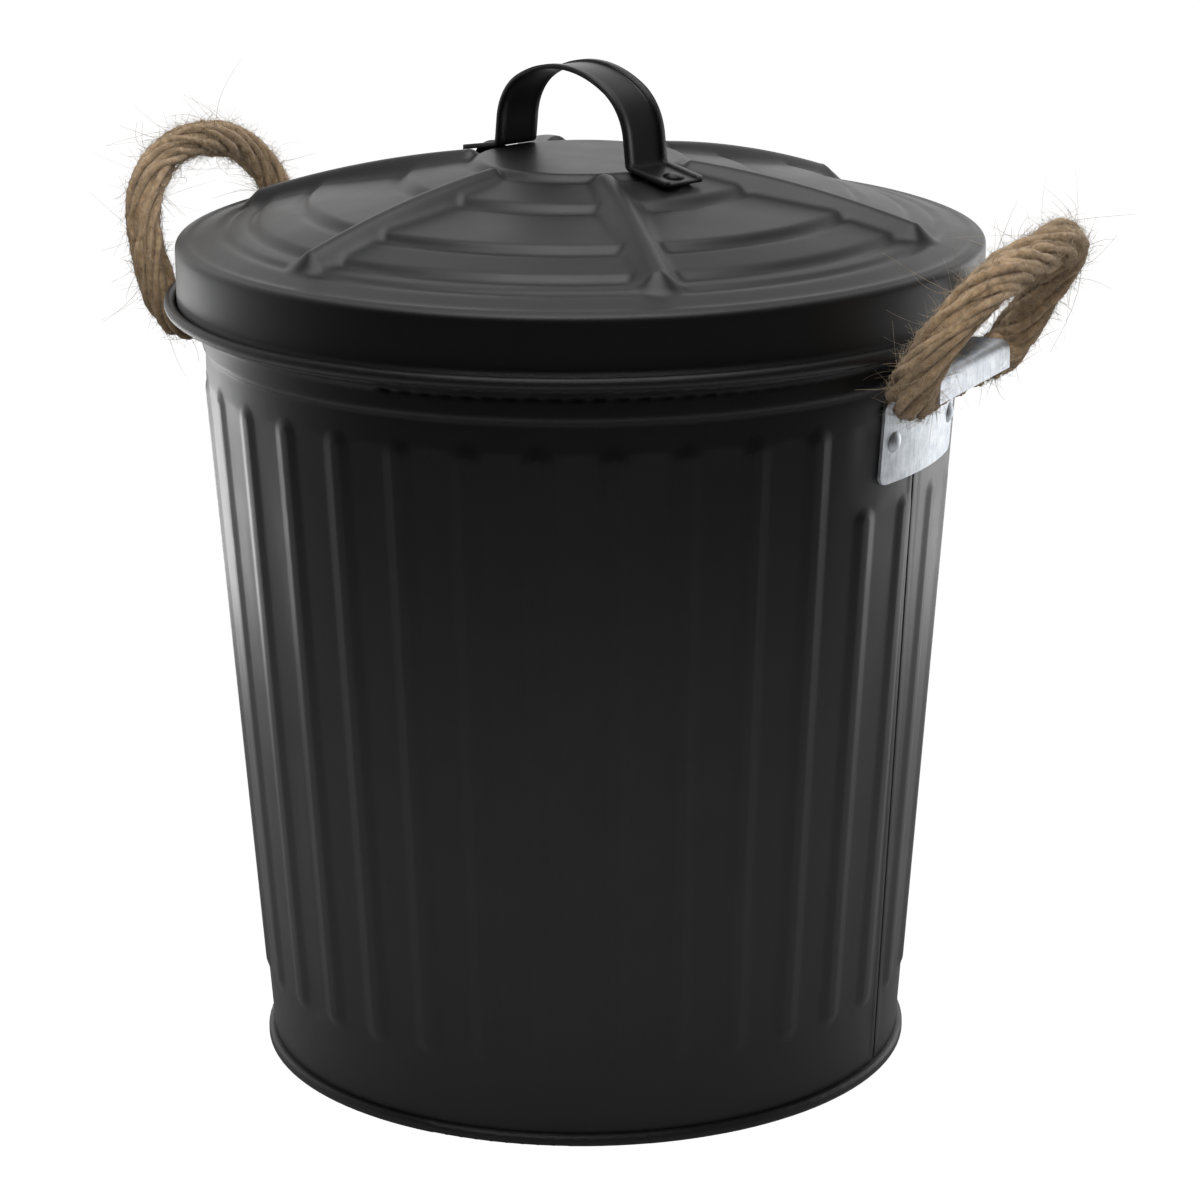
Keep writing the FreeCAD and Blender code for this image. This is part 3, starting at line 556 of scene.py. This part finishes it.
def rope(name, side, lean, moves, full, seed):
    """One loop: yarns laid round a core, with fuzz and long fibres."""
    line = centre_line(route(side, lean, moves))
    step = (line[1] - line[0]).length
    length = step * (len(line) - 1)
    base = frames(line)
    verts, faces, uvs = [], [], []
    sizes = [girth(i * step, length, full) for i in range(len(line))]
    for y in range(YARNS):
        path, radii = [], []
        for i, (point, ahead, n, b) in enumerate(base):
            at = i * step
            a = 2.0 * math.pi * (at / LAY_PITCH + y / YARNS) + wobble(seed + 2.3 * y, at, 0.34)
            r = YARN_AT * sizes[i] * (1.0 + wobble(seed + 5.1 * y, at * 1.3, 0.16))
            path.append(point + (n * math.cos(a) + b * math.sin(a)) * r)
            radii.append(YARN_R * sizes[i] * (1.0 + wobble(seed + 3.7 * y, at * 1.9, 0.26)))
        tube(verts, faces, uvs, path, radii, YARN_SIDES, seed + y, YARN_ROUGH)
    core = [CORE_R * size for size in sizes]
    tube(verts, faces, uvs, line, core, CORE_SIDES, seed, CORE_ROUGH)
    piece = mesh_piece(name, verts, faces, uvs, yarn)
    short = hairs(name + "_fuzz", base, sizes, 5200, (0.0020, 0.0065), (0.02, 0.32), seed)
    long = hairs(name + "_fibres", base, sizes, 170, (0.006, 0.016), (0.25, 1.1), seed + 50)
    for hair in (short, long):
        hair.parent = piece
    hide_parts("rope_handle_" + name.split("_")[-1])
    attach(piece, "rope_" + name.split("_")[-1])


def hairs(name, base, sizes, count, lengths, lifts, seed):
    """Loose fibres that lie on the rope or stand off it."""
    pick = random.Random(seed)
    verts, faces, uvs = [], [], []
    for h in range(count):
        i = pick.randrange(HAIR_ENDS, len(base) - HAIR_ENDS)
        point, ahead, n, b = base[i]
        a = pick.uniform(0.0, 2.0 * math.pi)
        out = n * math.cos(a) + b * math.sin(a)
        side = ahead.cross(out)
        along = ahead * pick.choice((-1.0, 1.0))
        length = pick.uniform(*lengths)
        lift = pick.uniform(*lifts)
        twist = pick.uniform(-0.9, 0.9)
        curl = pick.uniform(-1.3, 1.3)
        droop = pick.uniform(-0.5, 0.2)
        start = point + out * ((YARN_AT + YARN_R) * sizes[i] * pick.uniform(0.86, 1.0))
        path = []
        for j in range(HAIR_STEPS + 1):
            t = j / HAIR_STEPS
            path.append(start + (along * (1.0 - 0.35 * t) + out * (lift * (1.0 + droop * t))
                                 + side * (twist + curl * t)) * (length * t))
        thick = pick.uniform(*HAIR_RADII)
        radii = [thick * (1.0 - 0.6 * j / HAIR_STEPS) for j in range(HAIR_STEPS + 1)]
        tube(verts, faces, uvs, path, radii, HAIR_SIDES, h % 17)
    return mesh_piece(name, verts, faces, uvs, fluff)


rope("rope_right", 1.0, 33.0, MOVE_RIGHT, 1.14, 2)
rope("rope_left", -1.0, 17.0, {}, 1.0, 9)


# ---- backdrop, floor and light ----
# shares of white by direction: from the camera's side to the back, from right to left
# and from straight down to straight up
def grey(value):
    return (value, value, value)


BACK_STOPS = [(0.0, grey(0.02)), (0.35, grey(0.05)), (0.55, grey(0.22)), (0.75, grey(0.7)),
              (1.0, grey(0.95))]
LEFT_STOPS = [(0.0, grey(0.75)), (1.0, grey(1.0))]
RISE_STOPS = [(0.2, grey(0.7)), (0.5, grey(0.95)), (0.64, grey(1.0)), (0.8, grey(0.62)),
              (1.0, grey(0.45))]
SKY = 1.45
BACKDROP_R = 40.0
FLOOR_R = 0.55
AIM = (0.0, 0.0, 0.18)


def plain(name, colour, glow):
    m, tree, shader = material(name)
    shader.inputs["Base Color"].default_value = (*colour, 1.0)
    shader.inputs["Roughness"].default_value = 0.9
    shader.inputs["Specular IOR Level"].default_value = 0.0
    shader.inputs["Emission Color"].default_value = (*colour, 1.0)
    shader.inputs["Emission Strength"].default_value = glow
    return m


def ball(shape):
    bmesh.ops.create_icosphere(shape, subdivisions=4, radius=BACKDROP_R)


def disc(shape):
    bmesh.ops.create_circle(shape, cap_ends=True, segments=96, radius=FLOOR_R)


def staged(name, build, look):
    mesh = bpy.data.meshes.new(name)
    shape = bmesh.new()
    build(shape)
    shape.to_mesh(mesh)
    shape.free()
    mesh.materials.append(look)
    obj = bpy.data.objects.new(name, mesh)
    bpy.context.scene.collection.objects.link(obj)
    return obj


def light(name, place, size, power):
    """A soft light, unseen by the camera, that points at the middle of the can."""
    data = bpy.data.lights.new(name, "AREA")
    data.shape = "RECTANGLE"
    data.size, data.size_y = size
    data.energy = power
    obj = bpy.data.objects.new(name, data)
    obj.location = place
    obj.rotation_mode = "QUATERNION"
    obj.rotation_quaternion = (Vector(AIM) - Vector(place)).to_track_quat("-Z", "Y")
    obj.visible_camera = False
    bpy.context.scene.collection.objects.link(obj)
    return obj


def around(turn, back, up):
    """A place round the can, turned from the camera's side towards its right."""
    a = CAMERA_TURN + math.radians(turn)
    return (back * math.sin(a), -back * math.cos(a), up)


def facing(tree, direction, turn):
    """How far a direction points to a side of the scene, from 0 to 1."""
    side = add(tree, "ShaderNodeVectorMath", operation="DOT_PRODUCT")
    tree.links.new(direction, side.inputs[0])
    side.inputs[1].default_value = around(turn, 1.0, 0.0)
    return remap(tree, side.outputs["Value"], 0.0, 1.0, -1.0, 1.0)


def times(tree, a, b):
    node = add(tree, "ShaderNodeMath", operation="MULTIPLY")
    tree.links.new(a, node.inputs[0])
    tree.links.new(b, node.inputs[1])
    return node.outputs["Value"]


def studio():
    """White room behind the can, dark on the camera's side."""
    world = bpy.data.worlds.new("studio")
    bpy.context.scene.world = world
    world.use_nodes = True
    tree = world.node_tree
    direction = where(tree, "Generated")
    back = ramp(tree, facing(tree, direction, 180.0), BACK_STOPS)
    left = ramp(tree, facing(tree, direction, -90.0), LEFT_STOPS)
    height = tree.nodes.new("ShaderNodeSeparateXYZ")
    tree.links.new(direction, height.inputs["Vector"])
    rise = ramp(tree, remap(tree, height.outputs["Z"], 0.0, 1.0, -1.0, 1.0), RISE_STOPS)
    sky = tree.nodes["Background"]
    sky.inputs["Color"].default_value = (1.0, 1.0, 1.0, 1.0)
    light_share = times(tree, times(tree, back, left), rise)
    tree.links.new(remap(tree, light_share, 0.0, SKY), sky.inputs["Strength"])


studio()
backdrop = staged("backdrop", ball, plain("backdrop", (1.0, 1.0, 1.0), 1.0))
backdrop.visible_diffuse = False
backdrop.visible_glossy = False
backdrop.visible_transmission = False
backdrop.visible_shadow = False
floor = staged("floor", disc, plain("floor", (0.5, 0.5, 0.5), 0.0))
floor.visible_camera = False
light("key_left_back", around(-140.0, 1.4, -0.45), (0.6, 0.8), 6.5)
light("key_right_back", around(128.0, 1.4, -0.10), (0.8, 1.3), 6.0)
light("top", around(0.0, 0.1, 1.7), (1.2, 1.2), 16.0)
fill = light("fill", around(10.0, 1.5, 1.2), (1.2, 1.2), 20.0)
fill.visible_glossy = False
bpy.context.scene.view_settings.view_transform = "Standard"
